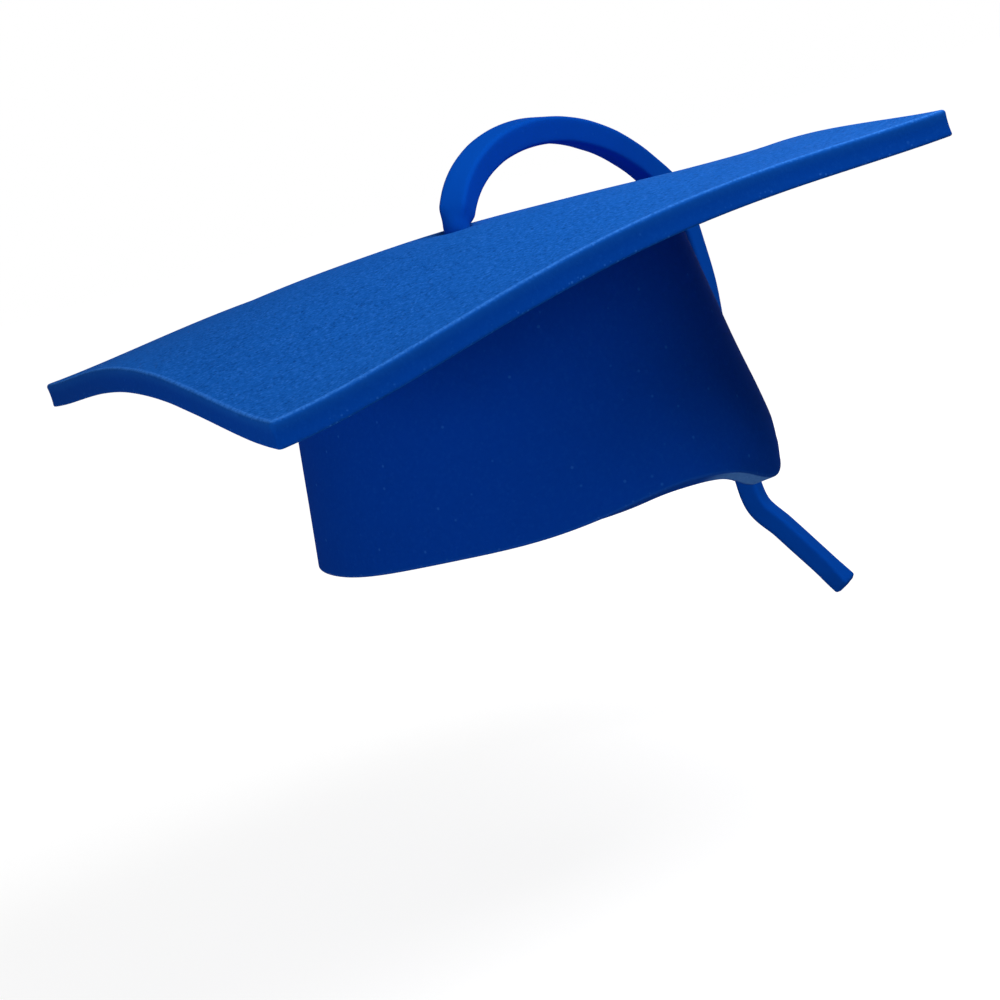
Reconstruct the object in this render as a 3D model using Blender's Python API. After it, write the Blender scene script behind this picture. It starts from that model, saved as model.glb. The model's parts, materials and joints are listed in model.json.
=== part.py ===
"""Foam graduation cap: a bent square board glued on a wrapped crown band, with a foam strip as its tassel.

Frame: +Z up, wearer's front along -Y, wearer's left along +X. The origin is the centre of the head
opening, in the mean plane of the crown's rim. The tassel and its anchor turn about a vertical axis in
the board's hole.
"""
import math

import bmesh
import bpy
from mathutils import Matrix, Vector

MM = 0.001

# Foam sheet and glue joints
SHEET = 12.7 * MM
GLUE_GAP = 0.3 * MM
SEAM_GAP = 0.4 * MM

# Board, square to its diagonals: one corner points forward and one points to each side
BOARD_SIDE = 355.6 * MM
BOARD_HEIGHT = 138.0 * MM
BOARD_SETBACK = 5.0 * MM
BOARD_CORNER_RADIUS = 4.0 * MM
SIDE_SAG = 38.5 * MM
FRONT_SAG = 8.0 * MM
REAR_SAG = 20.0 * MM
EDGE_LIFT = 8.7 * MM
SIDE_EASE = 0.75

# Crown band, outside lengths along Y and widths along X
CROWN_TOP_LENGTH = 208.5 * MM
CROWN_TOP_WIDTH = 176.0 * MM
RIM_LENGTH = 248.5 * MM
RIM_WIDTH = 193.0 * MM
RIM_TEMPLE_WAVE = 5.5 * MM
RIM_BROW_WAVE = 3.8 * MM

# Tassel strip, tapered, squeezed round where it passes through its hole ahead of the board's centre
TASSEL_ROOT_WIDTH = 15.0 * MM
TASSEL_TIP_WIDTH = 12.0 * MM
TASSEL_CORNER = 1.6 * MM
TASSEL_AHEAD = 2.7 * MM
PLUG_DIAMETER = 14.0 * MM
PLUG_STAND = 2.0 * MM
SQUEEZE_LENGTH = 8.0 * MM
HOLE_CLEARANCE = 0.4 * MM
TASSEL_HEADING = math.radians(-11.1)
PLUG_HEADING = math.radians(1.0)
EDGE_CLEARANCE = 2.4 * MM
ROOT_PULL = (26.0 * MM, 47.5 * MM)
EDGE_PULL = (-65.0 * MM, 76.0 * MM)
HANG_TWIST = math.radians(-16.0)
HANG_TWIST_LENGTH = 100.0 * MM
TIP_LENGTH = 20.0 * MM
TIP_TWIST = math.radians(15.0)

# Hanging end of the tassel: drop below the board's edge, then outward and forward of its crossing there
HANG_ROUTE = (
    (20.0 * MM, 5.0 * MM, -1.0 * MM),
    (55.0 * MM, 8.0 * MM, -2.0 * MM),
    (95.0 * MM, 8.0 * MM, -5.5 * MM),
    (135.0 * MM, 7.0 * MM, -8.5 * MM),
    (165.0 * MM, 6.0 * MM, -8.0 * MM),
    (187.0 * MM, 5.0 * MM, -5.5 * MM),
    (203.0 * MM, 4.0 * MM, 6.0 * MM),
    (245.0 * MM, 4.0 * MM, 33.0 * MM),
)

# Anchor disc under the board
ANCHOR_DIAMETER = 44.0 * MM
ANCHOR_CLEARANCE = 0.4 * MM
ANCHOR_BEVEL = 1.0 * MM

# Mesh fineness
BOARD_CELLS = 28
CROWN_STATIONS = 72
CROWN_ROWS = 3
ROUTE_STEP = 8.0 * MM
LOOP_STEPS = 9
CURVE_STEPS = 16
ROUND_SEGMENTS = 32
CORNER_SEGMENTS = 3
RIM_SEGMENTS = 2
CREASE_ANGLE = math.radians(40.0)

# Finish
BOARD_COLOR = (0.012, 0.125, 0.55)
CROWN_COLOR = (0.008, 0.085, 0.42)
TASSEL_COLOR = (0.010, 0.105, 0.50)
FOAM_ROUGHNESS = 0.9

# Values that follow from the sizes above
HALF_DIAGONAL = BOARD_SIDE / math.sqrt(2.0)
BOARD_CENTRE = Vector((0.0, BOARD_SETBACK, BOARD_HEIGHT))
LOOP_DIRECTION = Vector((math.cos(TASSEL_HEADING), math.sin(TASSEL_HEADING), 0.0))
FORWARD = Vector((0.0, -1.0, 0.0))
UP = Vector((0.0, 0.0, 1.0))
SWIVEL = BOARD_CENTRE + TASSEL_AHEAD * FORWARD


def clear_scene():
    """Remove every object of the scene."""
    for old in list(bpy.data.objects):
        bpy.data.objects.remove(old, do_unlink=True)


def foam_material(name, color):
    """Plain foam finish."""
    material = bpy.data.materials.new(name)
    material.use_nodes = True
    shader = material.node_tree.nodes["Principled BSDF"]
    shader.inputs["Base Color"].default_value = (*color, 1.0)
    shader.inputs["Roughness"].default_value = FOAM_ROUGHNESS
    shader.inputs["Metallic"].default_value = 0.0
    return material


def add_object(name, bm, material, parent=None):
    """Turn a bmesh into a named object, with faces out and creases kept sharp."""
    bmesh.ops.recalc_face_normals(bm, faces=bm.faces)
    mesh = bpy.data.meshes.new(name)
    bm.to_mesh(mesh)
    bm.free()
    mesh.shade_smooth()
    mesh.set_sharp_from_angle(angle=CREASE_ANGLE)
    mesh.materials.append(material)
    piece = bpy.data.objects.new(name, mesh)
    bpy.context.collection.objects.link(piece)
    piece.parent = parent
    return piece


def add_faces(bm, rows, closed):
    """Join neighbouring rows of vertices with quads; closed also joins each row's end to its start."""
    for low, high in zip(rows, rows[1:]):
        count = len(low)
        for i in range(count if closed else count - 1):
            j = (i + 1) % count
            bm.faces.new((low[i], low[j], high[j], high[i]))


def bend(ahead, left):
    """Height of the bent board's middle over its centre, from its sags and the lift along each edge."""
    a = ahead / HALF_DIAGONAL
    b = left / HALF_DIAGONAL
    side = SIDE_SAG * ((1.0 + SIDE_EASE) * b**2 - SIDE_EASE * b**4)
    end = (FRONT_SAG * (1.0 + a) + REAR_SAG * (1.0 - a)) / 2.0
    lift = EDGE_LIFT * (2.0 * a) ** 2 * (2.0 * b) ** 2
    return lift - side - end * (2.0 * a**2 - a**4)


def board_point(ahead, left, offset):
    """Point of the board at a distance from its middle surface, measured square to that surface."""
    step = 0.1 * MM
    slope_ahead = (bend(ahead + step, left) - bend(ahead - step, left)) / (2.0 * step)
    slope_left = (bend(ahead, left + step) - bend(ahead, left - step)) / (2.0 * step)
    normal = Vector((-slope_left, slope_ahead, 1.0)).normalized()
    middle = BOARD_CENTRE + Vector((left, -ahead, bend(ahead, left)))
    return middle + offset * normal


def edge_reach(heading):
    """Distance from the tassel's hole to the board's front-left edge, along a heading from +X towards +Y."""
    return (HALF_DIAGONAL - TASSEL_AHEAD) / (math.cos(heading) - math.sin(heading))


def make_board(material):
    """Square sheet, bent, with rounded corners and a hole for the tassel."""
    bm = bmesh.new()
    sheets = []
    shares = [2.0 * i / BOARD_CELLS - 1.0 for i in range(BOARD_CELLS + 1)]
    for offset in (-SHEET / 2.0, SHEET / 2.0):
        rows = []
        for u in shares:
            row = []
            for v in shares:
                ahead = (u - v) * HALF_DIAGONAL / 2.0
                left = (u + v) * HALF_DIAGONAL / 2.0
                row.append(bm.verts.new(board_point(ahead, left, offset)))
            rows.append(row)
        add_faces(bm, rows, closed=False)
        sheets.append(rows)
    outline = []
    for rows in sheets:
        first = rows[0]
        last = rows[-1]
        right = [row[-1] for row in rows[1:-1]]
        left = [row[0] for row in rows[1:-1]]
        outline.append(first + right + last[::-1] + left[::-1])
    add_faces(bm, outline, closed=True)
    corners = []
    for i in (0, -1):
        for j in (0, -1):
            corners.append(bm.edges.get((sheets[0][i][j], sheets[1][i][j])))
    bmesh.ops.recalc_face_normals(bm, faces=bm.faces)
    bmesh.ops.bevel(
        bm, geom=corners, offset=BOARD_CORNER_RADIUS, segments=CORNER_SEGMENTS, profile=0.5, affect="EDGES",
    )
    board = add_object("board", bm, material)
    cutter = make_hole_cutter()
    hole = board.modifiers.new("tassel_hole", "BOOLEAN")
    hole.operation = "DIFFERENCE"
    hole.object = cutter
    return board


def make_hole_cutter():
    """Upright cylinder, longer than the board is thick."""
    bm = bmesh.new()
    radius = PLUG_DIAMETER / 2.0 + HOLE_CLEARANCE
    bmesh.ops.create_cone(
        bm, cap_ends=True, segments=ROUND_SEGMENTS, radius1=radius, radius2=radius, depth=3.0 * SHEET,
        matrix=Matrix.Translation(SWIVEL),
    )
    mesh = bpy.data.meshes.new("hole_cutter")
    bm.to_mesh(mesh)
    bm.free()
    cutter = bpy.data.objects.new("hole_cutter", mesh)
    bpy.context.collection.objects.link(cutter)
    cutter.hide_render = True
    cutter.display_type = "WIRE"
    return cutter


def rim_point(angle):
    """Point of the rim's outer edge, which dips at the brow; angles run from the front to the left."""
    front_share = math.cos(angle / 2.0) ** 2
    wave = RIM_TEMPLE_WAVE * math.cos(3.0 * angle) + RIM_BROW_WAVE * math.cos(5.0 * angle)
    height = -front_share * wave
    return Vector((RIM_WIDTH / 2.0 * math.sin(angle), -RIM_LENGTH / 2.0 * math.cos(angle), height))


def crown_top_point(angle, inset):
    """Point on the glue line under the board, set in from the crown's outside."""
    ahead = BOARD_SETBACK + (CROWN_TOP_LENGTH / 2.0 - inset) * math.cos(angle)
    left = (CROWN_TOP_WIDTH / 2.0 - inset) * math.sin(angle)
    return board_point(ahead, left, -SHEET / 2.0 - GLUE_GAP)


def crown_section(angle):
    """Corners of the wall at one angle: outer top, outer rim, inner rim and inner top."""
    turn = 0.001
    outer_top = crown_top_point(angle, 0.0)
    outer_rim = rim_point(angle)
    along = rim_point(angle + turn) - rim_point(angle - turn)
    inward = along.cross(outer_rim - outer_top).normalized()
    if inward.dot(outer_rim) > 0.0:
        inward.negate()
    return outer_top, outer_rim, outer_rim + SHEET * inward, crown_top_point(angle, SHEET)


def make_crown(material):
    """Strip wrapped round the head, with its two ends meeting in a glued seam at the rear."""
    bm = bmesh.new()
    rear_radius = CROWN_TOP_WIDTH / 2.0 - SHEET
    half_seam = SEAM_GAP / 2.0 / rear_radius
    sections = []
    for i in range(CROWN_STATIONS + 1):
        share = i / CROWN_STATIONS
        angle = (math.pi - half_seam) * (2.0 * share - 1.0)
        outer_top, outer_rim, inner_rim, inner_top = crown_section(angle)
        ring = []
        for k in range(CROWN_ROWS + 1):
            ring.append(bm.verts.new(outer_top.lerp(outer_rim, k / CROWN_ROWS)))
        for k in range(CROWN_ROWS + 1):
            ring.append(bm.verts.new(inner_rim.lerp(inner_top, k / CROWN_ROWS)))
        sections.append(ring)
    add_faces(bm, sections, closed=True)
    bm.faces.new(sections[0])
    bm.faces.new(sections[-1])
    return add_object("crown_band", bm, material)


def loop_route():
    """Route of the tassel from the board's hole over its front-left edge, as one pulled curve in a plane."""
    reach = edge_reach(TASSEL_HEADING)
    slant = math.cos(TASSEL_HEADING + math.pi / 4.0)
    half_width = (TASSEL_ROOT_WIDTH + TASSEL_TIP_WIDTH) / 2.0 / math.sqrt(2.0)
    crossing = reach + (half_width + EDGE_CLEARANCE) / slant
    ahead = TASSEL_AHEAD - reach * math.sin(TASSEL_HEADING)
    edge = board_point(ahead, reach * math.cos(TASSEL_HEADING), SHEET / 2.0)
    start = Vector((0.0, BOARD_HEIGHT + SHEET / 2.0 + PLUG_STAND))
    end = Vector((crossing, edge.z))
    first_pull = start + Vector(ROOT_PULL)
    last_pull = end + Vector(EDGE_PULL)
    route = []
    for i in range(LOOP_STEPS + 1):
        t = i / LOOP_STEPS
        flat = (1.0 - t) ** 3 * start + 3.0 * (1.0 - t) ** 2 * t * first_pull
        flat += 3.0 * (1.0 - t) * t**2 * last_pull + t**3 * end
        route.append(Vector((0.0, SWIVEL.y, flat.y)) + flat.x * LOOP_DIRECTION)
    return route


def tassel_route():
    """Points of the strip's middle line, from its end under the board to its free end."""
    route = [SWIVEL - SHEET / 2.0 * UP, SWIVEL]
    route += loop_route()
    crossing = route[-1]
    for drop, out, ahead in HANG_ROUTE:
        route.append(crossing - drop * UP + out * LOOP_DIRECTION + ahead * FORWARD)
    return route


def smooth_curve(points):
    """Evenly spaced points of a smooth curve through the given points."""
    padded = [2.0 * points[0] - points[1]] + points + [2.0 * points[-1] - points[-2]]
    fine = []
    for p0, p1, p2, p3 in zip(padded, padded[1:], padded[2:], padded[3:]):
        span = (p2 - p1).length
        leave = (p2 - p0) * span / ((p1 - p0).length + span)
        arrive = (p3 - p1) * span / ((p3 - p2).length + span)
        for i in range(CURVE_STEPS):
            t = i / CURVE_STEPS
            point = (2.0 * t**3 - 3.0 * t**2 + 1.0) * p1 + (t**3 - 2.0 * t**2 + t) * leave
            point += (3.0 * t**2 - 2.0 * t**3) * p2 + (t**3 - t**2) * arrive
            fine.append(point)
    fine.append(points[-1].copy())
    return even_spacing(fine)


def even_spacing(points):
    """The same line, cut into equal steps."""
    lengths = [0.0]
    for a, b in zip(points, points[1:]):
        lengths.append(lengths[-1] + (b - a).length)
    steps = round(lengths[-1] / ROUTE_STEP)
    even = []
    k = 0
    for i in range(steps + 1):
        target = lengths[-1] * i / steps
        while k < len(points) - 2 and lengths[k + 1] < target:
            k += 1
        share = (target - lengths[k]) / (lengths[k + 1] - lengths[k])
        even.append(points[k].lerp(points[k + 1], share))
    return even


def path_length(points):
    """Length of the line through the points."""
    return sum((b - a).length for a, b in zip(points, points[1:]))


def section_outline(width, squeeze):
    """Twelve points round the strip: a square with rounded corners, turned into a circle by squeeze."""
    half = width / 2.0
    inner = half - TASSEL_CORNER
    middle = inner + TASSEL_CORNER / math.sqrt(2.0)
    outline = []
    for quarter in range(4):
        turn = Matrix.Rotation(quarter * math.pi / 2.0, 2)
        for corner in ((half, inner), (middle, middle), (inner, half)):
            square = turn @ Vector(corner)
            circle = square.normalized() * PLUG_DIAMETER / 2.0
            outline.append(square.lerp(circle, squeeze))
    return outline


def smooth_step(value):
    """Ease from 0 to 1."""
    value = min(max(value, 0.0), 1.0)
    return value * value * (3.0 - 2.0 * value)


def make_tassel(material, axis):
    """Square strip swept along its route, with a slow turn as it hangs and a short one at its tip."""
    route = tassel_route()
    points = smooth_curve(route)
    bm = bmesh.new()
    rings = []
    across = Vector((math.sin(PLUG_HEADING), -math.cos(PLUG_HEADING), 0.0))
    length = 0.0
    total = path_length(points)
    hang_start = path_length(route[:-len(HANG_ROUTE)])
    plug_length = SHEET + PLUG_STAND
    for i, point in enumerate(points):
        before = points[max(i - 1, 0)]
        after = points[min(i + 1, len(points) - 1)]
        tangent = (after - before).normalized()
        if i > 0:
            length += (point - before).length
        across = (across - across.dot(tangent) * tangent).normalized()
        squeeze = 1.0 - smooth_step((length - plug_length) / SQUEEZE_LENGTH)
        width = TASSEL_ROOT_WIDTH + (TASSEL_TIP_WIDTH - TASSEL_ROOT_WIDTH) * length / total
        twist = HANG_TWIST * smooth_step((length - hang_start) / HANG_TWIST_LENGTH)
        twist += TIP_TWIST * smooth_step((length - total + TIP_LENGTH) / TIP_LENGTH)
        side = Matrix.Rotation(twist, 3, tangent) @ across
        outward = side.cross(tangent)
        ring = []
        for corner in section_outline(width, squeeze):
            place = point + corner.x * outward + corner.y * side
            ring.append(bm.verts.new(place - axis.location))
        rings.append(ring)
    add_faces(bm, rings, closed=True)
    bm.faces.new(rings[0])
    bm.faces.new(rings[-1])
    return add_object("tassel_strip", bm, material, axis)


def make_anchor(material, axis):
    """Disc glued to the strip's end under the board, which keeps the strip from pulling out."""
    radius = ANCHOR_DIAMETER / 2.0
    drop = -bend(TASSEL_AHEAD, radius)
    top = -SHEET / 2.0 - drop - ANCHOR_CLEARANCE
    bm = bmesh.new()
    bmesh.ops.create_cone(
        bm, cap_ends=True, segments=ROUND_SEGMENTS, radius1=radius, radius2=radius, depth=SHEET,
        matrix=Matrix.Translation((0.0, 0.0, top - SHEET / 2.0)),
    )
    rims = [edge for edge in bm.edges if abs(edge.verts[0].co.z - edge.verts[1].co.z) < SHEET / 2.0]
    bmesh.ops.bevel(bm, geom=rims, offset=ANCHOR_BEVEL, segments=RIM_SEGMENTS, profile=0.5, affect="EDGES")
    return add_object("tassel_anchor", bm, material, axis)


def make_cap():
    """Build the cap: fixed board and crown, and the tassel on its swivel axis."""
    clear_scene()
    make_board(foam_material("board_foam", BOARD_COLOR))
    make_crown(foam_material("crown_foam", CROWN_COLOR))
    axis = bpy.data.objects.new("tassel_swivel", None)
    bpy.context.collection.objects.link(axis)
    axis.location = SWIVEL
    make_tassel(foam_material("tassel_foam", TASSEL_COLOR), axis)
    make_anchor(foam_material("anchor_foam", TASSEL_COLOR), axis)


make_cap()
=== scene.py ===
"""Looks of the foam graduation cap: rounded foam forms, open-cell finishes, soft light and the camera."""
import json
import math

import bpy
from mathutils import Matrix, Quaternion, Vector, noise


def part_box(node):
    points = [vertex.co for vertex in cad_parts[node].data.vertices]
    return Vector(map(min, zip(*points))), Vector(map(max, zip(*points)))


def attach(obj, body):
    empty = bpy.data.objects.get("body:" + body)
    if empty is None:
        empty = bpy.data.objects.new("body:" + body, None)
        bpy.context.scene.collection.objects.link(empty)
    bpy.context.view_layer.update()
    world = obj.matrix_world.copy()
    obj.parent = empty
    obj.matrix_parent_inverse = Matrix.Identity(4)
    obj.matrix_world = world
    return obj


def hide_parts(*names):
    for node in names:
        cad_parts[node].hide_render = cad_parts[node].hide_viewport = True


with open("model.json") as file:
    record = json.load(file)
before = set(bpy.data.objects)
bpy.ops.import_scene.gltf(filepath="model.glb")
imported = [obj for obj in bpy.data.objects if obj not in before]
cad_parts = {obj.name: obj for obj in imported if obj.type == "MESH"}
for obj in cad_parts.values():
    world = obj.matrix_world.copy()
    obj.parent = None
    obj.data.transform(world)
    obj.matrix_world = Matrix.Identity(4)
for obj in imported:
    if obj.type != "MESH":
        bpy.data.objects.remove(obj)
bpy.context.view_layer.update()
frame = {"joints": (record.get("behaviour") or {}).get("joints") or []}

MM = 0.001

# Foam sheet and the board's bend, as in the part's source
SHEET = 12.7 * MM
BOARD_SIDE = 355.6 * MM
SIDE_SAG = 38.5 * MM
FRONT_SAG = 8.0 * MM
REAR_SAG = 20.0 * MM
EDGE_LIFT = 8.7 * MM
SIDE_EASE = 0.75

# Crown band, as in the part's source
GLUE_GAP = 0.3 * MM
CROWN_TOP_LENGTH = 208.5 * MM
CROWN_TOP_WIDTH = 176.0 * MM
RIM_LENGTH = 248.5 * MM
RIM_WIDTH = 193.0 * MM
RIM_TEMPLE_WAVE = 5.5 * MM
RIM_BROW_WAVE = 3.8 * MM

# Tassel strip, as in the part's source
TASSEL_ROOT_WIDTH = 15.0 * MM
TASSEL_TIP_WIDTH = 12.0 * MM
TASSEL_AHEAD = 2.7 * MM
PLUG_DIAMETER = 14.0 * MM
PLUG_STAND = 2.0 * MM
HOLE_CLEARANCE = 0.4 * MM
TASSEL_HEADING = math.radians(-11.1)
PLUG_HEADING = math.radians(1.0)
EDGE_CLEARANCE = 2.4 * MM
ROOT_PULL = (26.0 * MM, 47.5 * MM)
EDGE_PULL = (-65.0 * MM, 76.0 * MM)
HANG_TWIST = math.radians(-16.0)
HANG_TWIST_LENGTH = 100.0 * MM
TIP_LENGTH = 20.0 * MM
TIP_TWIST = math.radians(15.0)
LOOP_STEPS = 9
HANG_ROUTE = (
    (20.0 * MM, 5.0 * MM, -1.0 * MM),
    (55.0 * MM, 8.0 * MM, -2.0 * MM),
    (95.0 * MM, 8.0 * MM, -5.5 * MM),
    (135.0 * MM, 7.0 * MM, -8.5 * MM),
    (165.0 * MM, 6.0 * MM, -8.0 * MM),
    (187.0 * MM, 5.0 * MM, -5.5 * MM),
    (203.0 * MM, 4.0 * MM, 6.0 * MM),
    (245.0 * MM, 4.0 * MM, 33.0 * MM),
)

# Soft forms of the board: rounded and ragged edges with a painted highlight along the top one, an uneven cut,
# slow swells and a dimple round its hole
CORNER_ROUND = 2.8 * MM
TOP_EDGE_ROUND = 1.8 * MM
# How strongly the top edge's rounding is painted pale: fraying with a painted highlight line
TOP_EDGE_WEAR_AND_HIGHLIGHT = 1.4
LOW_EDGE_ROUND = 1.0 * MM
LOW_EDGE_WEAR = 0.35
ROUND_CUT_SHARE = 0.6
EDGE_FRAY_REACH = 1.1 * MM
BOARD_EDGE_HOLLOW = 0.3 * MM
BOARD_EDGE_WOBBLE = 0.4 * MM
BOARD_EDGE_WAVE = 38.0 * MM
BOARD_SWELL = 0.3 * MM
BOARD_SWELL_WAVE = 55.0 * MM
SWELL_FADE = (0.05, 6.0)
HOLE_ROUND = 0.9 * MM
ROOT_DIMPLE = 0.5 * MM
ROOT_DIMPLE_REACH = 9.0 * MM

# Soft forms of the crown: rounded edges, slow swells and the glued seam
RIM_ROUND = 1.2 * MM
LEAST_RIM_ROUND = 0.4 * MM
INNER_RIM_SHARE = 0.8
RIM_WEAR = 0.45
CROWN_TOP_ROUND = 0.8 * MM
LEAST_TOP_ROUND = 0.3 * MM
CROWN_SWELL = 0.35 * MM
CROWN_SWELL_WAVE = 70.0 * MM
CROWN_RIPPLE = 0.15 * MM
CROWN_RIPPLE_WAVE = 24.0 * MM
SEAM_ROUND = 1.4 * MM
SEAM_GLUE = 0.15 * MM
SEAM_WEAR = 0.5

# Forms at the crown's brow and the pale band of painted bounce light under its rim, each whole up to a span's
# first angle from the front and gone past its last
RIM_LIP = 3.0 * MM
LIP_SPAN = (math.radians(50.0), math.radians(72.0))
LIP_GAP = (math.radians(16.0), math.radians(40.0))
# Span of the pale band painted under the brow's rim as bounce light from below
PAINTED_BOUNCE_SPAN = (math.radians(22.0), math.radians(44.0))
BROW_BULGE = 1.2 * MM
BROW_TUCK = 3.6 * MM
TUCK_SPAN = (math.radians(10.0), math.radians(26.0))
BROW_DROP = 3.0 * MM
DROP_SPAN = (0.0, math.radians(26.0))

# Where those forms lie, as shares of the way down the wall, and the power by which the tuck curls in
BULGE_START = 0.5
BULGE_END = 1.1
TUCK_START = 0.85
TUCK_CURL = 1.5
DROP_START = 0.88

# Soft forms of the strip and the anchor disc
ROOT_STAND = 0.4 * MM
ROOT_SLACK = 0.3 * MM
ROOT_EASE = 10.0 * MM
STRIP_CORNER = 2.2 * MM
LEAST_STRIP_CORNER = 0.5 * MM
STRIP_END_ROUND = 2.2 * MM
STRIP_SWELL = 0.2 * MM
STRIP_SWELL_WAVE = 16.0 * MM
STRIP_WEAR = 0.1
ANCHOR_ROUND = 2.0 * MM
ANCHOR_WOBBLE = 0.4 * MM
ANCHOR_WAVE = 12.0 * MM
ANCHOR_WEAR = 0.6

# Mesh fineness
SIDE_STATIONS = 64
CORNER_STATIONS = 8
BOARD_RINGS = 56
ROUND_STEPS = 5
WALL_STEPS = 8
CROWN_STATIONS = 200
CROWN_SIDES = (("outside", 30), ("rim", 5), ("inside", 18), ("top", 3))
STRIP_STEP = 1.1 * MM
CURVE_STEPS = 16
STRIP_LEVELS = (-0.6, -0.2, 0.2, 0.6)
ANCHOR_STATIONS = 96
ANCHOR_SHARES = (0.03, 0.35, 0.7)
SLOPE_STEP = 0.1 * MM
TURN_STEP = 0.001

# Directions, and what follows from the frame and the sizes above
FORWARD = Vector((0.0, -1.0, 0.0))
UP = Vector((0.0, 0.0, 1.0))
SWIVEL = Vector(frame["joints"][0]["pos_m"])
BOARD_CENTRE = SWIVEL - TASSEL_AHEAD * FORWARD
HALF_DIAGONAL = BOARD_SIDE / math.sqrt(2.0)
HOLE_SPOT = Vector((TASSEL_AHEAD, 0.0))
HOLE_RADIUS = PLUG_DIAMETER / 2.0 + HOLE_CLEARANCE
LOOP_DIRECTION = Vector((math.cos(TASSEL_HEADING), math.sin(TASSEL_HEADING), 0.0))

# Finish: colour of the sheet's face, of its cut edges, in open cells, on light cell walls and where worn and
# ragged, a tone that also paints the board's top-edge highlight and the bounce light under the crown's brow
# The face's tone is lighter and paler than the cut edges' partly as the sheet's own skin and partly as
# painted sheen, the whitish cast of the top seen at a low angle
BOARD_TONES = (
    (0.0085, 0.128, 0.57),
    (0.0006, 0.062, 0.44),
    (0.0015, 0.06, 0.32),
    (0.035, 0.22, 0.82),
    (0.045, 0.24, 0.85),
)
# The crown's last tone, for worn edges and the seam, also paints the bounce light under the brow's rim
CROWN_TONES = (
    (0.0008, 0.054, 0.43),
    (0.0008, 0.060, 0.43),
    (0.0004, 0.04, 0.33),
    (0.02, 0.13, 0.58),
    (0.14, 0.38, 0.88),
)
TASSEL_TONES = (
    (0.0010, 0.075, 0.49),
    (0.0010, 0.075, 0.49),
    (0.0005, 0.05, 0.37),
    (0.012, 0.13, 0.62),
    (0.03, 0.19, 0.68),
)

# Noise in the foam: how fine it is, in cells to a metre, its detail and its roughness
FINE_NOISE = (620.0, 2.0, 0.6)
CLOUD_NOISE = (430.0, 2.0, 0.6)
PATCH_NOISE = (130.0, 2.0, 0.5)
MOTTLE_NOISE = (45.0, 3.0, 0.6)
BROAD_NOISE = (11.0, 2.0, 0.5)

# Dots in the foam: how fine they are, in cells to a metre, and the reach of their core and soft edge
CELL_DOTS = (580.0, 0.25, 0.6)
CRUMB_DOTS = (480.0, 0.15, 0.4)
SPECK_DOTS = (120.0, 0.05, 0.13)

# What noise, dots, wear and cut edges bring about: two levels of theirs, and the effect at each
CUT_GRAIN = (0.0, 0.7, 1.0, 0.1)
PATCH_CELLS = (0.35, 0.65, 0.4, 1.0)
CELL_PITS = (0.25, 0.5, 1.1, 0.0)
CLOUD_PITS = (0.3, 0.52, 0.5, 0.0)
CELL_WALLS = (0.6, 0.8, 0.0, 0.7)
CLOUD_WALLS = (0.5, 0.7, 0.0, 0.5)
BROAD_SPREAD = (0.3, 0.7, 0.4, 1.0)
MOTTLE_SHADE = (0.25, 0.75, 0.0, 0.16)
WEAR_TO_FRAY_AND_LIGHT = (0.35, 1.0, 0.0, 1.0)
WEAR_CRUMBS = (0.1, 0.35, 0.0, 1.0)
PATCH_CRUMBS = (0.4, 0.6, 0.0, 1.0)
FINE_ROUGHNESS = (0.2, 0.8, 1.0, 0.88)

# Levels of the same kind, where each finish gives the effect
FRAY_AND_LIGHT_LEVELS = (0.32, 0.62)
LOT_LEVELS = (0.4, 0.6)

# Relief, gloss and a faint sheen
BUMP_STRENGTH = 0.5
BUMP_HEIGHT = 0.4 * MM
FINE_BUMP = 0.3
CRUMB_BUMP = 0.6
SPECULAR_LEVEL = 0.01
SHEEN_WEIGHT = 0.004
SHEEN_ROUGHNESS = 0.6
SHEEN_TINT = (0.25, 0.6, 1.0, 1.0)

# Camera and stage
CAMERA_PLACE = (-1154.8 * MM, -461.8 * MM, 218.2 * MM)
CAMERA_HEADING = math.radians(67.19)
CAMERA_PITCH = math.radians(-9.595)
CAMERA_ROLL = math.radians(-17.29)
CAMERA_LENS = 90.0
SENSOR_WIDTH = 36.0
FLOOR_HEIGHT = -0.19
FLOOR_SIZE = 14.0
FLOOR_COLOR = (0.4, 0.4, 0.4, 1.0)
FLOOR_GLOW = (0.85, 1.0)
FLOOR_GLOW_REACH = (0.5, 1.3)
AMBIENT = 0.10
WHITE = (1.0, 1.0, 1.0, 1.0)

# Soft square lights: place, target and power
LIGHT_SIZE = 0.5
LIGHTS = {
    "front_key": ((-0.02, -0.52, 0.80), (0.0, -0.22, 0.10), 5.2),
    "front_fill": ((-0.10, -0.50, 0.75), (0.0, -0.05, 0.12), 1.2),
    "side_fill": ((-1.15, 0.0, 0.08), (0.0, 0.0, 0.06), 2.4),
    "rear_side_fill": ((-1.05, 0.40, 0.10), (0.0, 0.0, 0.06), 1.4),
    "left_fill": ((1.15, -0.05, 0.12), (0.0, 0.0, 0.06), 2.0),
    "rear_fill": ((0.45, 1.05, 0.12), (0.0, 0.0, 0.06), 0.8),
}


def wobble(place, wavelength, amount):
    """Smooth unevenness of cut foam, the same on each run."""
    return amount * noise.noise(place / wavelength)


def smooth_step(value):
    """Ease from 0 to 1."""
    value = min(max(value, 0.0), 1.0)
    return value * value * (3.0 - 2.0 * value)


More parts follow.
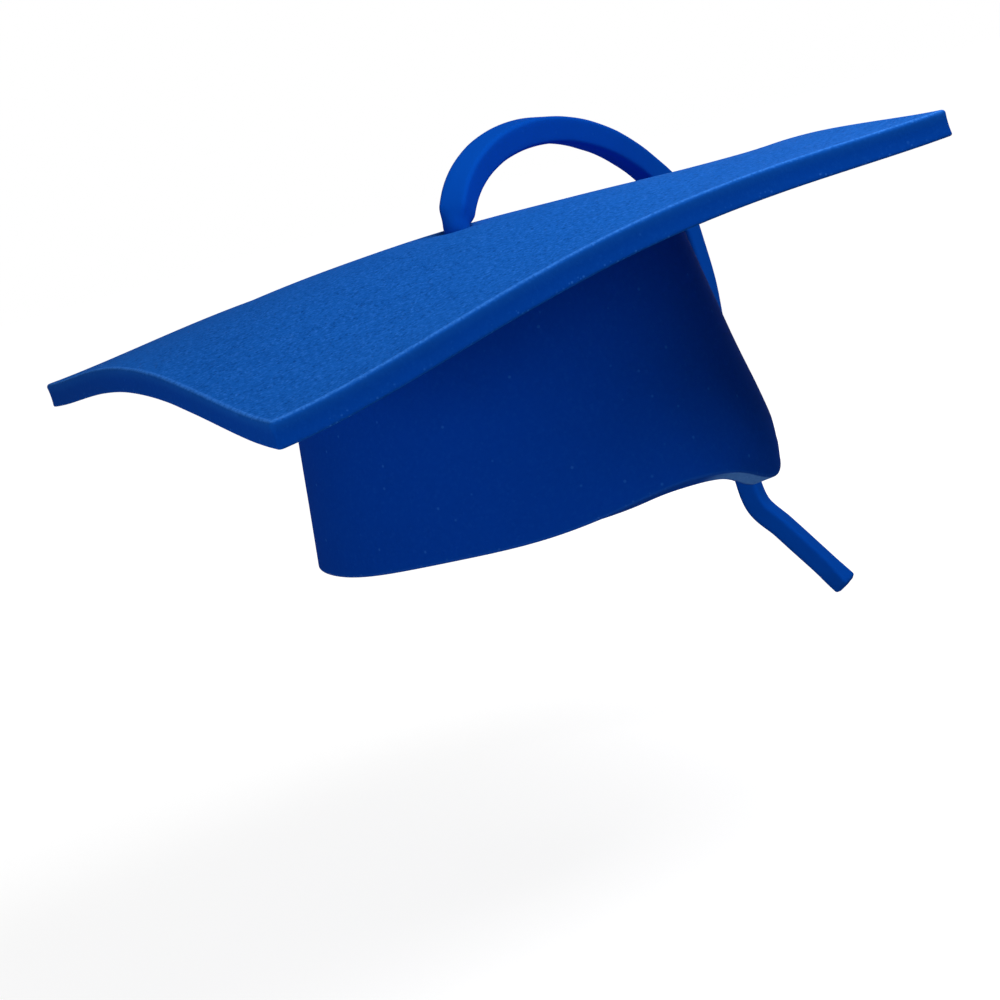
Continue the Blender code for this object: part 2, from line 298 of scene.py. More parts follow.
def add_piece(name, rings, wear_and_painted_light, cut, closed_path, body, node, material):
    """Make a closed mesh from rings of points, with how worn each is, painted highlight and bounce light
    counted in, and how freshly cut, and place it.
    """
    count = len(rings[0])
    points = [place for ring in rings for place in ring]
    faces = []
    spans = len(rings) if closed_path else len(rings) - 1
    for i in range(spans):
        low = i * count
        high = (i + 1) % len(rings) * count
        for j in range(count):
            k = (j + 1) % count
            faces.append((low + j, low + k, high + k, high + j))
    if not closed_path:
        faces.append(tuple(reversed(range(count))))
        faces.append(tuple(range(len(points) - count, len(points))))
    mesh = bpy.data.meshes.new(name)
    mesh.from_pydata(points, [], faces)
    mesh.update()
    for label, values in (("wear_and_painted_light", wear_and_painted_light), ("cut", cut)):
        attribute = mesh.attributes.new(label, "FLOAT", "POINT")
        attribute.data.foreach_set("value", [value for ring in values for value in ring])
    mesh.shade_smooth()
    mesh.materials.append(material)
    piece = bpy.data.objects.new(name, mesh)
    bpy.context.scene.collection.objects.link(piece)
    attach(piece, body)
    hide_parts(node)


# Board

def bend(ahead, left):
    """Height of the bent board's middle over its centre."""
    a = ahead / HALF_DIAGONAL
    b = left / HALF_DIAGONAL
    side = SIDE_SAG * ((1.0 + SIDE_EASE) * b**2 - SIDE_EASE * b**4)
    end = (FRONT_SAG * (1.0 + a) + REAR_SAG * (1.0 - a)) / 2.0
    lift = EDGE_LIFT * (2.0 * a) ** 2 * (2.0 * b) ** 2
    return lift - side - end * (2.0 * a**2 - a**4)


def board_point(ahead, left, offset):
    """Point of the board at a distance from its middle surface, measured square to that surface."""
    step = SLOPE_STEP
    slope_ahead = (bend(ahead + step, left) - bend(ahead - step, left)) / (2.0 * step)
    slope_left = (bend(ahead, left + step) - bend(ahead, left - step)) / (2.0 * step)
    normal = Vector((-slope_left, slope_ahead, 1.0)).normalized()
    return BOARD_CENTRE + Vector((left, -ahead, bend(ahead, left))) + offset * normal


def board_outline(inset):
    """Plan of the board's edge, set in from the cut line, as (ahead, left) points round the board."""
    half = BOARD_SIDE / 2.0 - inset
    radius = CORNER_ROUND - inset
    straight = half - radius
    outline = []
    for quarter in range(4):
        turn = Matrix.Rotation(quarter * math.pi / 2.0 + math.pi / 4.0, 2)
        for i in range(SIDE_STATIONS):
            outline.append(turn @ Vector((half, straight * (2.0 * i / SIDE_STATIONS - 1.0))))
        for i in range(CORNER_STATIONS):
            angle = math.pi / 2.0 * i / CORNER_STATIONS
            corner = Vector((straight + radius * math.cos(angle), straight + radius * math.sin(angle)))
            outline.append(turn @ corner)
    return outline


def board_ring(inset, offset):
    """Points round the board near its cut edge, which runs a little unevenly."""
    ring = []
    for flat in board_outline(inset):
        place = Vector((flat.x, flat.y, offset))
        cut = flat.normalized() * wobble(place, BOARD_EDGE_WAVE, BOARD_EDGE_WOBBLE)
        ring.append(board_point(flat.x + cut.x, flat.y + cut.y, offset))
    return ring


def board_sheet_ring(share, face, edge_round):
    """Points round the upper or lower face, at a share of the way from the hole to the edge."""
    hole = HOLE_RADIUS + HOLE_ROUND
    fade = min(1.0, SWELL_FADE[1] * share * (1.0 - share) + SWELL_FADE[0])
    ring = []
    for flat in board_outline(edge_round):
        edge_place = Vector((flat.x, flat.y, 0.0))
        edge_cut = flat.normalized() * wobble(edge_place, BOARD_EDGE_WAVE, BOARD_EDGE_WOBBLE)
        start = HOLE_SPOT + flat.normalized() * hole
        spot = start.lerp(flat + share * edge_cut, share)
        reach = ((spot - HOLE_SPOT).length - hole) / ROOT_DIMPLE_REACH
        dimple = ROOT_DIMPLE * math.exp(-reach * reach) if face > 0.0 else 0.0
        swell = fade * wobble(Vector((spot.x, spot.y, face)), BOARD_SWELL_WAVE, BOARD_SWELL)
        ring.append(board_point(spot.x, spot.y, face * (SHEET / 2.0) + swell - dimple))
    return ring


def hole_ring(offset):
    """Points round the wall of the tassel's hole, in step with the board's outline."""
    ring = []
    for flat in board_outline(0.0):
        spot = HOLE_SPOT + flat.normalized() * HOLE_RADIUS
        ring.append(board_point(spot.x, spot.y, offset))
    return ring


def edge_wear(distance):
    """How worn the foam is at a distance from a cut edge; next to the board's top edge this is part of the
    painted highlight line.
    """
    return math.exp(-distance / EDGE_FRAY_REACH)


def make_board(material):
    """Bent foam square: upper face, rounded cut edge, lower face and the wall of the tassel's hole."""
    rings = []
    wear_and_painted_light = []
    cut = []

    def add(ring, wear_and_light_value, cut_value):
        rings.append(ring)
        wear_and_painted_light.append([wear_and_light_value] * len(ring))
        cut.append([cut_value] * len(ring))

    shares = [1.0 - (1.0 - i / BOARD_RINGS) ** 2 for i in range(BOARD_RINGS + 1)]
    run = BOARD_SIDE / 2.0
    # The top face near its edge and the top edge's rounding take the pale worn tone: fraying with a painted
    # highlight line along the edge
    for share in shares:
        add(board_sheet_ring(share, 1.0, TOP_EDGE_ROUND), edge_wear((1.0 - share) * run), 0.0)
    for i in range(1, ROUND_STEPS + 1):
        turn = math.pi / 2.0 * i / ROUND_STEPS
        inset = TOP_EDGE_ROUND * (1.0 - math.sin(turn))
        offset = SHEET / 2.0 - TOP_EDGE_ROUND * (1.0 - math.cos(turn))
        wear_and_highlight = smooth_step(TOP_EDGE_WEAR_AND_HIGHLIGHT * (1.0 - i / ROUND_STEPS))
        add(board_ring(inset, offset), wear_and_highlight, ROUND_CUT_SHARE * i / ROUND_STEPS)
    high = SHEET / 2.0 - TOP_EDGE_ROUND
    low = LOW_EDGE_ROUND - SHEET / 2.0
    for i in range(1, WALL_STEPS):
        share = i / WALL_STEPS
        hollow = BOARD_EDGE_HOLLOW * 4.0 * share * (1.0 - share)
        wear_and_highlight = LOW_EDGE_WEAR * smooth_step(2.0 * share - 1.0)
        add(board_ring(hollow, high + (low - high) * share), wear_and_highlight, min(1.0, ROUND_CUT_SHARE + share))
    for i in range(ROUND_STEPS + 1):
        turn = math.pi / 2.0 * i / ROUND_STEPS
        inset = LOW_EDGE_ROUND * (1.0 - math.cos(turn))
        offset = low - LOW_EDGE_ROUND * math.sin(turn)
        add(board_ring(inset, offset), LOW_EDGE_WEAR, 1.0 - i / ROUND_STEPS)
    for share in reversed(shares[:-1]):
        wear_and_highlight = LOW_EDGE_WEAR * edge_wear((1.0 - share) * run)
        add(board_sheet_ring(share, -1.0, LOW_EDGE_ROUND), wear_and_highlight, 0.0)
    wall = SHEET / 2.0 - HOLE_ROUND
    for offset in (-wall, 0.0, wall - ROOT_DIMPLE):
        add(hole_ring(offset), 0.0, 1.0)
    # In this order the mesh's faces look outwards
    for rows in (rings, wear_and_painted_light, cut):
        rows.reverse()
    add_piece("board_foam", rings, wear_and_painted_light, cut, True, "cap", "board", material)


# Crown band

def front_share(angle, span):
    """Share of a form at the front that an angle has: all up to a span's start, none past its end."""
    return smooth_step((span[1] - abs(angle)) / (span[1] - span[0]))


def rim_point(angle):
    """Point of the rim's outer edge before the brow's tuck; angles run from the front to the left."""
    ahead_share = math.cos(angle / 2.0) ** 2
    wave = RIM_TEMPLE_WAVE * math.cos(3.0 * angle) + RIM_BROW_WAVE * math.cos(5.0 * angle)
    left = RIM_WIDTH / 2.0 * math.sin(angle)
    ahead = RIM_LENGTH / 2.0 * math.cos(angle)
    return Vector((left, -ahead, -ahead_share * wave))


def crown_top_point(angle, inset):
    """Point on the glue line under the board, set in from the crown's outside."""
    ahead = BOARD_CENTRE.y + (CROWN_TOP_LENGTH / 2.0 - inset) * math.cos(angle)
    left = (CROWN_TOP_WIDTH / 2.0 - inset) * math.sin(angle)
    return board_point(ahead, left, -SHEET / 2.0 - GLUE_GAP)


def rounded(corner, before, after, radius):
    """Points of a rounded corner between two neighbouring corners."""
    start = corner + (before - corner).normalized() * radius
    end = corner + (after - corner).normalized() * radius
    arc = []
    for i in range(2 * ROUND_STEPS + 1):
        t = i / (2 * ROUND_STEPS)
        arc.append((1.0 - t) ** 2 * start + 2.0 * (1.0 - t) * t * corner + t**2 * end)
    return arc


def crown_corners(angle, inset):
    """Corners of the wall's section, from its outside top to its inside top, and the ways inward and down."""
    outer_top = crown_top_point(angle, 0.0)
    inner_top = crown_top_point(angle, SHEET)
    outer_rim = rim_point(angle)
    along = rim_point(angle + TURN_STEP) - rim_point(angle - TURN_STEP)
    inward = along.cross(outer_rim - outer_top).normalized()
    if inward.dot(outer_rim) > 0.0:
        inward.negate()
    lip = RIM_LIP * front_share(angle, LIP_SPAN) * (1.0 - front_share(angle, LIP_GAP))
    inner_rim = outer_rim + SHEET * inward - lip * UP
    down = (outer_rim - outer_top).normalized()
    outer_top += inset * (inward + down)
    inner_top += inset * (down - inward)
    outer_rim += inset * (inward - down)
    inner_rim -= inset * (inward + down)
    return (outer_top, outer_rim, inner_rim, inner_top), inward, down


def crown_section(angle, inset, corners):
    """Points round the wall's section between its corners, with how worn each is, the painted bounce light
    under the brow's rim, and their share of cut edge.
    """
    rim_round = max(RIM_ROUND - inset, LEAST_RIM_ROUND)
    top_round = max(CROWN_TOP_ROUND - inset, LEAST_TOP_ROUND)
    radii = (top_round, rim_round, INNER_RIM_SHARE * rim_round, top_round)
    arcs = [rounded(corners[k], corners[k - 1], corners[(k + 1) % 4], radii[k]) for k in range(4)]
    # Under the brow's rim the pale worn tone is painted on as bounce light from below
    fray_and_painted_light = front_share(angle, PAINTED_BOUNCE_SPAN)
    ring = []
    wear_and_painted_light = []
    cut = []
    for k, (side, fills) in enumerate(CROWN_SIDES):
        spots = list(arcs[k])
        for i in range(1, fills + 1):
            share = i / (fills + 1)
            # Points crowd towards the rim
            if side == "outside":
                share = 1.0 - (1.0 - share) ** 2
            if side == "inside":
                share = share**2
            spots.append(arcs[k][-1].lerp(arcs[(k + 1) % 4][0], share))
        for i, place in enumerate(spots):
            distance = min((place - corners[1]).length, (place - corners[2]).length)
            line = edge_wear(max(distance - rim_round, 0.0))
            under = smooth_step(i / (len(arcs[k]) - 1)) if side == "rim" else 0.0
            ring.append(place)
            wear_and_painted_light.append(max(fray_and_painted_light * under, RIM_WEAR * line))
            cut.append(max(line, under))
    return ring, wear_and_painted_light, cut


def crown_ring(angle, inset):
    """Points round the wall at one angle, with its swells and the brow's forms, how worn each is with the
    painted bounce light under the brow, and how cut.
    """
    corners, inward, down = crown_corners(angle, inset)
    ring, wear_and_painted_light, cut = crown_section(angle, inset, corners)
    outer_top, outer_rim = corners[:2]
    height = (outer_rim - outer_top).length
    bulge = front_share(angle, TUCK_SPAN) * BROW_BULGE
    tuck = front_share(angle, TUCK_SPAN) * BROW_TUCK
    drop = front_share(angle, DROP_SPAN) * BROW_DROP
    shaped = []
    for place in ring:
        share = min(max((place - outer_top).dot(down) / height, 0.0), 1.0)
        hump = math.sin(math.pi * max(share - BULGE_START, 0.0) / (BULGE_END - BULGE_START)) ** 2
        curl = max(0.0, (share - TUCK_START) / (1.0 - TUCK_START)) ** TUCK_CURL
        fall = max(0.0, (share - DROP_START) / (1.0 - DROP_START))
        swell = share * wobble(place, CROWN_SWELL_WAVE, CROWN_SWELL)
        swell += share * wobble(place, CROWN_RIPPLE_WAVE, CROWN_RIPPLE)
        shaped.append(place + (tuck * curl - bulge * hump - swell) * inward - drop * fall * UP)
    return shaped, wear_and_painted_light, cut


def make_crown(material):
    """Wrapped foam strip with rounded edges; its two rounded ends are glued in a seam at the rear."""
    half_width = CROWN_TOP_WIDTH / 2.0
    ends = []
    for i in range(ROUND_STEPS + 1):
        turn = math.pi / 2.0 * i / ROUND_STEPS
        depth = SEAM_GLUE / 2.0 + SEAM_ROUND * (1.0 - math.sin(turn))
        ends.append((math.pi - depth / half_width, SEAM_ROUND * (1.0 - math.cos(turn))))
    first = ends[0][0]
    stations = [(-angle, inset) for angle, inset in reversed(ends)]
    for i in range(1, CROWN_STATIONS):
        stations.append((first * (2.0 * i / CROWN_STATIONS - 1.0), 0.0))
    stations += ends
    rings = []
    wear_and_painted_light = []
    cut = []
    for angle, inset in stations:
        ring, wear_and_light_values, cut_values = crown_ring(angle, inset)
        seam = SEAM_WEAR if inset > 0.0 else 0.0
        rings.append(ring)
        wear_and_painted_light.append([max(value, seam) for value in wear_and_light_values])
        cut.append(cut_values)
    add_piece("crown_foam", rings, wear_and_painted_light, cut, True, "cap", "crown_band", material)


# Tassel strip

def edge_reach(heading):
    """Distance from the tassel's hole to the board's front-left edge, along a heading from +X towards +Y."""
    return (HALF_DIAGONAL - TASSEL_AHEAD) / (math.cos(heading) - math.sin(heading))


def loop_route():
    """Route of the strip from the board's hole over its front-left edge, as one pulled curve in a plane."""
    reach = edge_reach(TASSEL_HEADING)
    slant = math.cos(TASSEL_HEADING + math.pi / 4.0)
    half_width = (TASSEL_ROOT_WIDTH + TASSEL_TIP_WIDTH) / 2.0 / math.sqrt(2.0)
    crossing = reach + (half_width + EDGE_CLEARANCE) / slant
    ahead = TASSEL_AHEAD - reach * math.sin(TASSEL_HEADING)
    edge = board_point(ahead, reach * math.cos(TASSEL_HEADING), SHEET / 2.0)
    start = Vector((0.0, SWIVEL.z + SHEET / 2.0 + PLUG_STAND))
    end = Vector((crossing, edge.z))
    first_pull = start + Vector(ROOT_PULL)
    last_pull = end + Vector(EDGE_PULL)
    route = []
    for i in range(LOOP_STEPS + 1):
        t = i / LOOP_STEPS
        flat = (1.0 - t) ** 3 * start + 3.0 * (1.0 - t) ** 2 * t * first_pull
        flat += 3.0 * (1.0 - t) * t**2 * last_pull + t**3 * end
        route.append(Vector((0.0, SWIVEL.y, flat.y)) + flat.x * LOOP_DIRECTION)
    return route


def tassel_route():
    """Points of the strip's middle line, from its end under the board to its free end."""
    route = [SWIVEL - SHEET / 2.0 * UP, SWIVEL.copy()]
    route += loop_route()
    crossing = route[-1]
    for drop, out, ahead in HANG_ROUTE:
        route.append(crossing - drop * UP + out * LOOP_DIRECTION + ahead * FORWARD)
    return route


def smooth_curve(points):
    """Evenly spaced points of a smooth curve through the given points."""
    padded = [2.0 * points[0] - points[1]] + points + [2.0 * points[-1] - points[-2]]
    fine = []
    for p0, p1, p2, p3 in zip(padded, padded[1:], padded[2:], padded[3:]):
        span = (p2 - p1).length
        leave = (p2 - p0) * span / ((p1 - p0).length + span)
        arrive = (p3 - p1) * span / ((p3 - p2).length + span)
        for i in range(CURVE_STEPS):
            t = i / CURVE_STEPS
            point = (2.0 * t**3 - 3.0 * t**2 + 1.0) * p1 + (t**3 - 2.0 * t**2 + t) * leave
            point += (3.0 * t**2 - 2.0 * t**3) * p2 + (t**3 - t**2) * arrive
            fine.append(point)
    fine.append(points[-1].copy())
    return even_spacing(fine)


def even_spacing(points):
    """The same line, cut into equal steps."""
    lengths = [0.0]
    for a, b in zip(points, points[1:]):
        lengths.append(lengths[-1] + (b - a).length)
    steps = round(lengths[-1] / STRIP_STEP)
    even = []
    k = 0
    for i in range(steps + 1):
        target = lengths[-1] * i / steps
        while k < len(points) - 2 and lengths[k + 1] < target:
            k += 1
        share = (target - lengths[k]) / (lengths[k + 1] - lengths[k])
        even.append(points[k].lerp(points[k + 1], share))
    return even


def path_length(points):
    """Length of the line through the points."""
    return sum((b - a).length for a, b in zip(points, points[1:]))


def strip_outline(width, squeeze, inset):
    """Points round the strip's section and how worn each is: a rounded square, turned into a circle by
    squeeze.
    """
    half = width / 2.0 - inset
    radius = max(STRIP_CORNER - inset, LEAST_STRIP_CORNER)
    outline = []
    for quarter in range(4):
        turn = Matrix.Rotation(quarter * math.pi / 2.0, 2)
        flats = [(half, (half - radius) * level) for level in STRIP_LEVELS]
        arcs = []
        for i in range(ROUND_STEPS + 1):
            angle = math.pi / 2.0 * i / ROUND_STEPS
            arcs.append((half - radius + radius * math.cos(angle), half - radius + radius * math.sin(angle)))
        for spots, value in ((flats, 0.0), (arcs, STRIP_WEAR)):
            for spot in spots:
                square = turn @ Vector(spot)
                circle = square.normalized() * (PLUG_DIAMETER / 2.0 - ROOT_SLACK - inset)
                outline.append((square.lerp(circle, squeeze), value))
    return outline


def make_tassel(material):
    """Foam strip swept along its route, with a slow turn as it hangs and a short one at its tip."""
    route = tassel_route()
    points = smooth_curve(route)
    rings = []
    wear_and_painted_light = []
    cut = []
    across = Vector((math.sin(PLUG_HEADING), -math.cos(PLUG_HEADING), 0.0))
    length = 0.0
    total = path_length(points)
    hang_start = path_length(route[:-len(HANG_ROUTE)])
    plug_length = SHEET + ROOT_STAND
    for i, point in enumerate(points):
        before = points[max(i - 1, 0)]
        after = points[min(i + 1, len(points) - 1)]
        tangent = (after - before).normalized()
        if i > 0:
            length += (point - before).length
        across = (across - across.dot(tangent) * tangent).normalized()
        squeeze = 1.0 - smooth_step((length - plug_length) / ROOT_EASE)
        width = TASSEL_ROOT_WIDTH + (TASSEL_TIP_WIDTH - TASSEL_ROOT_WIDTH) * length / total
        twist = HANG_TWIST * smooth_step((length - hang_start) / HANG_TWIST_LENGTH)
        twist += TIP_TWIST * smooth_step((length - total + TIP_LENGTH) / TIP_LENGTH)
        side = Matrix.Rotation(twist, 3, tangent) @ across
        outward = side.cross(tangent)
        short = max(0.0, STRIP_END_ROUND - (total - length)) / STRIP_END_ROUND
        inset = STRIP_END_ROUND * (1.0 - math.sqrt(max(0.0, 1.0 - short * short)))
        ring = []
        values = []
        for spot, value in strip_outline(width, squeeze, inset):
            place = point + spot.x * outward + spot.y * side
            swell = (1.0 - squeeze) * wobble(place, STRIP_SWELL_WAVE, STRIP_SWELL)
            ring.append(place + swell * (place - point).normalized())
            values.append(max(value * (1.0 - squeeze), STRIP_WEAR * short))
        rings.append(ring)
        wear_and_painted_light.append(values)
        cut.append([1.0] * len(ring))
    add_piece("tassel_foam", rings, wear_and_painted_light, cut, False, "tassel", "tassel_strip", material)


# Anchor disc

def make_anchor(material):
    """Foam disc under the board, with soft edges and a slightly uneven cut."""
    low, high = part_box("tassel_anchor")
    middle = (low + high) / 2.0
    radius = (high.x - low.x) / 2.0
    half = (high.z - low.z) / 2.0
    levels = [(share * radius, half, 0.0) for share in ANCHOR_SHARES]
    for i in range(2 * ROUND_STEPS + 1):
        turn = math.pi / 2.0 * i / (2 * ROUND_STEPS)
        out = radius - ANCHOR_ROUND * (1.0 - math.sin(turn))
        levels.append((out, half - ANCHOR_ROUND * (1.0 - math.cos(turn)), ANCHOR_WEAR))
    levels += [(out, -level, value) for out, level, value in reversed(levels)]
    rings = []
    wear_and_painted_light = []
    cut = []
    for out, level, value in reversed(levels):
        ring = []
        for i in range(ANCHOR_STATIONS):
            angle = 2.0 * math.pi * i / ANCHOR_STATIONS
            spot = Vector((math.cos(angle), math.sin(angle), 0.0))
            uneven = abs(wobble(spot * radius, ANCHOR_WAVE, ANCHOR_WOBBLE)) * out / radius
            ring.append(middle + (out - uneven) * spot + level * UP)
        rings.append(ring)
        wear_and_painted_light.append([value] * ANCHOR_STATIONS)
        cut.append([1.0 if out > radius - ANCHOR_ROUND else 0.0] * ANCHOR_STATIONS)
    add_piece("anchor_foam", rings, wear_and_painted_light, cut, False, "tassel", "tassel_anchor", material)


# Foam finish

class Graph:
    """Short way to write the nodes of a material or a world."""

    def __init__(self, owner):
        owner.use_nodes = True
        self.tree = owner.node_tree
        self.tree.nodes.clear()

    def feed(self, socket, value):
        """Link a socket to an output, or set it to a value."""
        if isinstance(value, bpy.types.NodeSocket):
            self.tree.links.new(value, socket)
        else:
            socket.default_value = value

    def add(self, kind, settings=None, **inputs):
        """Make a node; an underscore in an input's name stands for a space."""
        node = self.tree.nodes.new(kind)
        for key, value in (settings or {}).items():
            setattr(node, key, value)
        for key, value in inputs.items():
            self.feed(node.inputs[key.replace("_", " ")], value)
        return node

    def join(self, kind, first, second, **inputs):
        """Add or mix two shaders, which are the last two inputs of such a node."""
        made = self.add(kind, **inputs)
        self.feed(made.inputs[-2], first.outputs[0])
        self.feed(made.inputs[-1], second.outputs[0])
        return made

    def noise(self, place, scale, detail, roughness):
        """Cloudy noise from 0 to 1."""
        made = self.add("ShaderNodeTexNoise", Vector=place, Scale=scale, Detail=detail, Roughness=roughness)
        return made.outputs["Fac"]

    def dots(self, place, scale, core, reach):
        """Round dots, one to a cell, and a number from 0 to 1 drawn for each."""
        made = self.add("ShaderNodeTexVoronoi", Vector=place, Scale=scale)
        lot = self.add("ShaderNodeSeparateColor", Color=made.outputs["Color"])
        return self.ramp(made.outputs["Distance"], core, reach, 1.0, 0.0), lot.outputs["Red"]

    def ramp(self, value, low, high, start, end):
        """Smooth step from start to end, as a value goes from the low to the high level."""
        made = self.add(
            "ShaderNodeMapRange", {"interpolation_type": "SMOOTHSTEP"},
            Value=value, From_Min=low, From_Max=high, To_Min=start, To_Max=end,
        )
        return made.outputs["Result"]

    def math(self, operation, first, second):
        """What an operation makes of two values."""
        made = self.add("ShaderNodeMath", {"operation": operation})
        for socket, value in zip(made.inputs, (first, second)):
            self.feed(socket, value)
        return made.outputs[0]

    def mix(self, share, first, second):
        """Mix of two colours, by the second one's share."""
        made = self.add("ShaderNodeMix", {"data_type": "RGBA"})
        # By number, because the sockets for colours share their names with others
        for socket, value in ((made.inputs[0], share), (made.inputs[6], first), (made.inputs[7], second)):
            self.feed(socket, (*value, 1.0) if isinstance(value, tuple) else value)
        return made.outputs[2]


def foam_material(name, tones, grain, fray_and_light_mix, crumbs, specks):
    """Open-cell foam: fine cells and pits, soft mottling, ragged worn edges with crumbs, a few light specks,
    and a pale tone that also paints highlight and bounce light.
    """
    face, cut_edge, pit, light, fray_and_painted_light = tones
    material = bpy.data.materials.new(name)
    graph = Graph(material)
    place = graph.add("ShaderNodeTexCoord").outputs["Object"]
    wear_and_painted_light = graph.add("ShaderNodeAttribute", {"attribute_name": "wear_and_painted_light"}).outputs["Fac"]
    cut = graph.add("ShaderNodeAttribute", {"attribute_name": "cut"}).outputs["Fac"]
    fine = graph.noise(place, *FINE_NOISE)
    cloud = graph.noise(place, *CLOUD_NOISE)
    patch = graph.noise(place, *PATCH_NOISE)
    mottle = graph.noise(place, *MOTTLE_NOISE)
    broad = graph.noise(place, *BROAD_NOISE)
    cell, cell_lot = graph.dots(place, *CELL_DOTS)
    crumb, crumb_lot = graph.dots(place, *CRUMB_DOTS)
    speck, speck_lot = graph.dots(place, *SPECK_DOTS)

    # Cells open as dark pits or end in light walls, in soft clouds, and less so on a clean cut
    whole = graph.math("MULTIPLY", graph.ramp(cut, *CUT_GRAIN), grain)
    cell = graph.math("MULTIPLY", cell, whole)
    open_cells = graph.math("MULTIPLY", graph.ramp(patch, *PATCH_CELLS), cell)
    pits = graph.math("MULTIPLY", graph.ramp(cell_lot, *CELL_PITS), open_cells)
    pits = graph.math("ADD", pits, graph.math("MULTIPLY", graph.ramp(cloud, *CLOUD_PITS), whole))
    walls = graph.math("MULTIPLY", graph.ramp(cell_lot, *CELL_WALLS), open_cells)
    walls = graph.math("ADD", walls, graph.math("MULTIPLY", graph.ramp(cloud, *CLOUD_WALLS), whole))
    spread = graph.ramp(broad, *BROAD_SPREAD)
    tone = graph.math("MULTIPLY", graph.ramp(mottle, *MOTTLE_SHADE), spread)
    color = graph.mix(cut, face, cut_edge)
    color = graph.mix(graph.math("ADD", pits, tone), color, pit)
    color = graph.mix(walls, color, light)

    # Worn edges turn ragged and pale and hold crumbs, and the same pale tone paints the highlight and bounce
    # light that the mesh marks; specks lie anywhere
    fray_and_light_share = graph.math("MULTIPLY", graph.ramp(wear_and_painted_light, *WEAR_TO_FRAY_AND_LIGHT), graph.ramp(fine, *FRAY_AND_LIGHT_LEVELS, *fray_and_light_mix))
    color = graph.mix(fray_and_light_share, color, fray_and_painted_light)
    crumb = graph.math("MULTIPLY", crumb, graph.ramp(crumb_lot, *LOT_LEVELS, 0.0, crumbs))
    torn = graph.math("MULTIPLY", graph.ramp(patch, *PATCH_CRUMBS), graph.ramp(wear_and_painted_light, *WEAR_CRUMBS))
    crumb = graph.math("MULTIPLY", crumb, torn)
    color = graph.mix(crumb, color, fray_and_painted_light)
    speck = graph.math("MULTIPLY", speck, graph.ramp(speck_lot, *LOT_LEVELS, 0.0, specks))
    color = graph.mix(speck, color, light)

    # Walls, crumbs and specks stand up, and pits go in
    height = graph.math("ADD", walls, graph.math("MULTIPLY", fine, FINE_BUMP))
    height = graph.math("SUBTRACT", height, pits)
    bits = graph.math("ADD", crumb, speck)
    height = graph.math("ADD", height, graph.math("MULTIPLY", bits, CRUMB_BUMP))
    bump = graph.add("ShaderNodeBump", Height=height, Strength=BUMP_STRENGTH, Distance=BUMP_HEIGHT)
    shader = graph.add(
        "ShaderNodeBsdfPrincipled",
        Base_Color=color,
        Normal=bump.outputs["Normal"],
        Roughness=graph.ramp(fine, *FINE_ROUGHNESS),
        Specular_IOR_Level=SPECULAR_LEVEL,
        Sheen_Weight=SHEEN_WEIGHT,
        Sheen_Roughness=SHEEN_ROUGHNESS,
        Sheen_Tint=SHEEN_TINT,
    )
    graph.add("ShaderNodeOutputMaterial", Surface=shader.outputs["BSDF"])
    return material


# Stage

def seen_directly(graph):
    """1 to the camera, to reflections and through what is clear, and 0 to the rays that light the object."""
    path = graph.add("ShaderNodeLightPath")
    seen = graph.math("MAXIMUM", path.outputs["Is Camera Ray"], path.outputs["Is Glossy Ray"])
    return graph.math("MAXIMUM", seen, path.outputs["Is Transmission Ray"])


def floor_material():
    """Pale finish that keeps the shadow, is white to the camera and reflections, and is clear from below."""
    material = bpy.data.materials.new("floor")
    graph = Graph(material)
    place = graph.add("ShaderNodeTexCoord").outputs["Object"]
    away = graph.add("ShaderNodeVectorMath", {"operation": "LENGTH"}, Vector=place).outputs["Value"]
    level = graph.math("MULTIPLY", seen_directly(graph), graph.ramp(away, *FLOOR_GLOW_REACH, *FLOOR_GLOW))
    diffuse = graph.add("ShaderNodeBsdfDiffuse", Color=FLOOR_COLOR)
    glow = graph.add("ShaderNodeEmission", Strength=level)
    lit = graph.join("ShaderNodeAddShader", diffuse, glow)
    below = graph.add("ShaderNodeNewGeometry").outputs["Backfacing"]
    clear = graph.add("ShaderNodeBsdfTransparent")
    side = graph.join("ShaderNodeMixShader", lit, clear, Fac=below)
    graph.add("ShaderNodeOutputMaterial", Surface=side.outputs["Shader"])
    return material


def make_floor():
    """Flat square below the cap, clear of the strip's free end."""
    half = FLOOR_SIZE / 2.0
    mesh = bpy.data.meshes.new("floor")
    corners = [(-half, -half, 0.0), (half, -half, 0.0), (half, half, 0.0), (-half, half, 0.0)]
    mesh.from_pydata(corners, [], [(0, 1, 2, 3)])
    mesh.materials.append(floor_material())
    floor = bpy.data.objects.new("floor", mesh)
    floor.location.z = FLOOR_HEIGHT
    bpy.context.scene.collection.objects.link(floor)


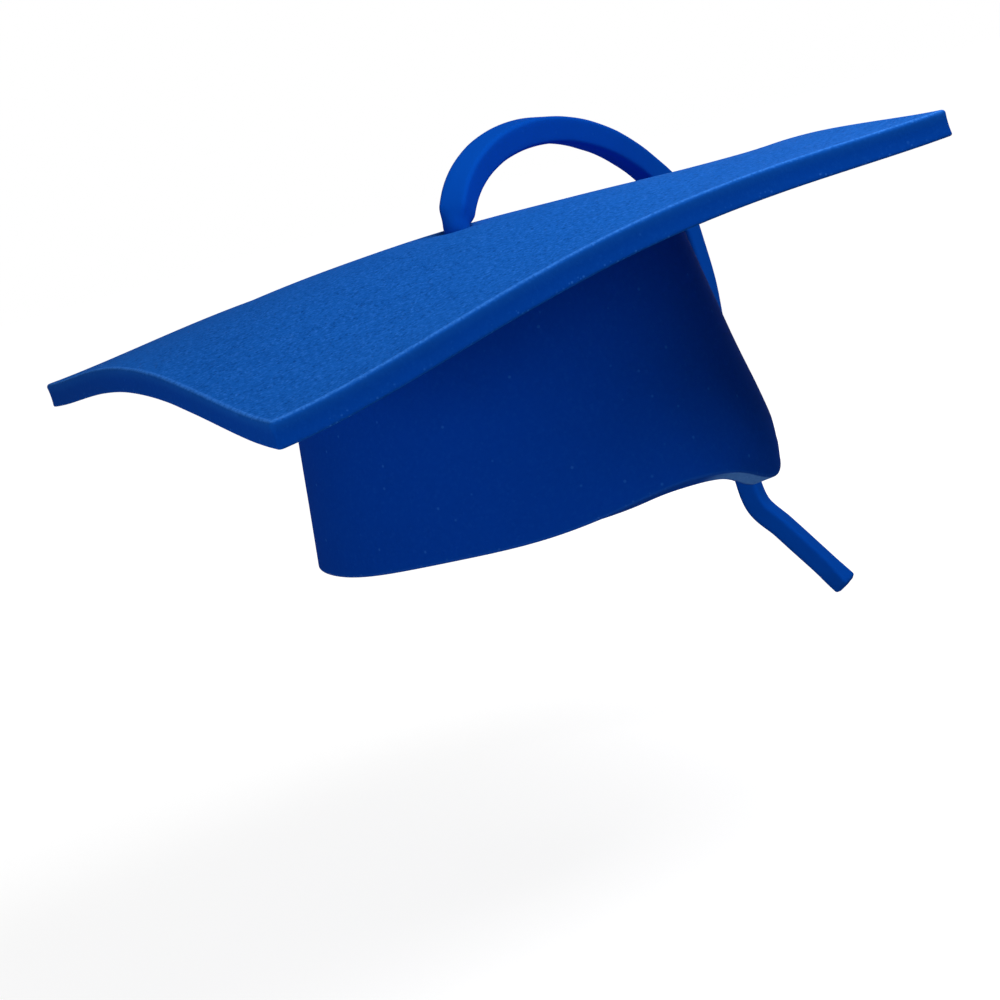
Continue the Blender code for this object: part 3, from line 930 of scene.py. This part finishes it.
def make_world():
    """Even pale surroundings: white to the camera, and a soft level of light for the object."""
    world = bpy.data.worlds.new("studio")
    bpy.context.scene.world = world
    graph = Graph(world)
    level = graph.ramp(seen_directly(graph), 0.0, 1.0, AMBIENT, 1.0)
    background = graph.add("ShaderNodeBackground", Color=WHITE, Strength=level)
    graph.add("ShaderNodeOutputWorld", Surface=background.outputs["Background"])


def add_light(name, place, target, power):
    """Square soft light at a place, turned towards a target."""
    data = bpy.data.lights.new(name, "AREA")
    data.size = LIGHT_SIZE
    data.energy = power
    lamp = bpy.data.objects.new(name, data)
    lamp.location = place
    lamp.rotation_mode = "QUATERNION"
    lamp.rotation_quaternion = (Vector(target) - Vector(place)).to_track_quat("-Z", "Y")
    bpy.context.scene.collection.objects.link(lamp)


def make_camera():
    """Camera at the photograph's place, rolled as the cap was worn."""
    level = math.cos(CAMERA_PITCH)
    ahead = Vector((
        math.sin(CAMERA_HEADING) * level,
        math.cos(CAMERA_HEADING) * level,
        math.sin(CAMERA_PITCH),
    ))
    data = bpy.data.cameras.new("camera")
    data.lens = CAMERA_LENS
    data.sensor_width = SENSOR_WIDTH
    camera = bpy.data.objects.new("camera", data)
    camera.location = CAMERA_PLACE
    camera.rotation_mode = "QUATERNION"
    roll = Quaternion((0.0, 0.0, 1.0), CAMERA_ROLL)
    camera.rotation_quaternion = ahead.to_track_quat("-Z", "Y") @ roll
    bpy.context.scene.collection.objects.link(camera)
    bpy.context.scene.camera = camera


make_board(foam_material(
    "board_foam_finish", BOARD_TONES, grain=0.6, fray_and_light_mix=(0.25, 0.75), crumbs=0.4, specks=0.15,
))
make_crown(foam_material(
    "crown_foam_finish", CROWN_TONES, grain=0.10, fray_and_light_mix=(0.52, 0.64), crumbs=0.10, specks=0.50,
))
make_tassel(foam_material(
    "tassel_foam_finish", TASSEL_TONES, grain=0.12, fray_and_light_mix=(0.3, 0.7), crumbs=0.3, specks=0.25,
))
make_anchor(foam_material(
    "anchor_foam_finish", TASSEL_TONES, grain=0.3, fray_and_light_mix=(0.3, 0.7), crumbs=0.3, specks=0.25,
))
make_floor()
make_world()
for light, (place, target, power) in LIGHTS.items():
    add_light(light, place, target, power)
make_camera()
bpy.context.scene.view_settings.view_transform = "Standard"
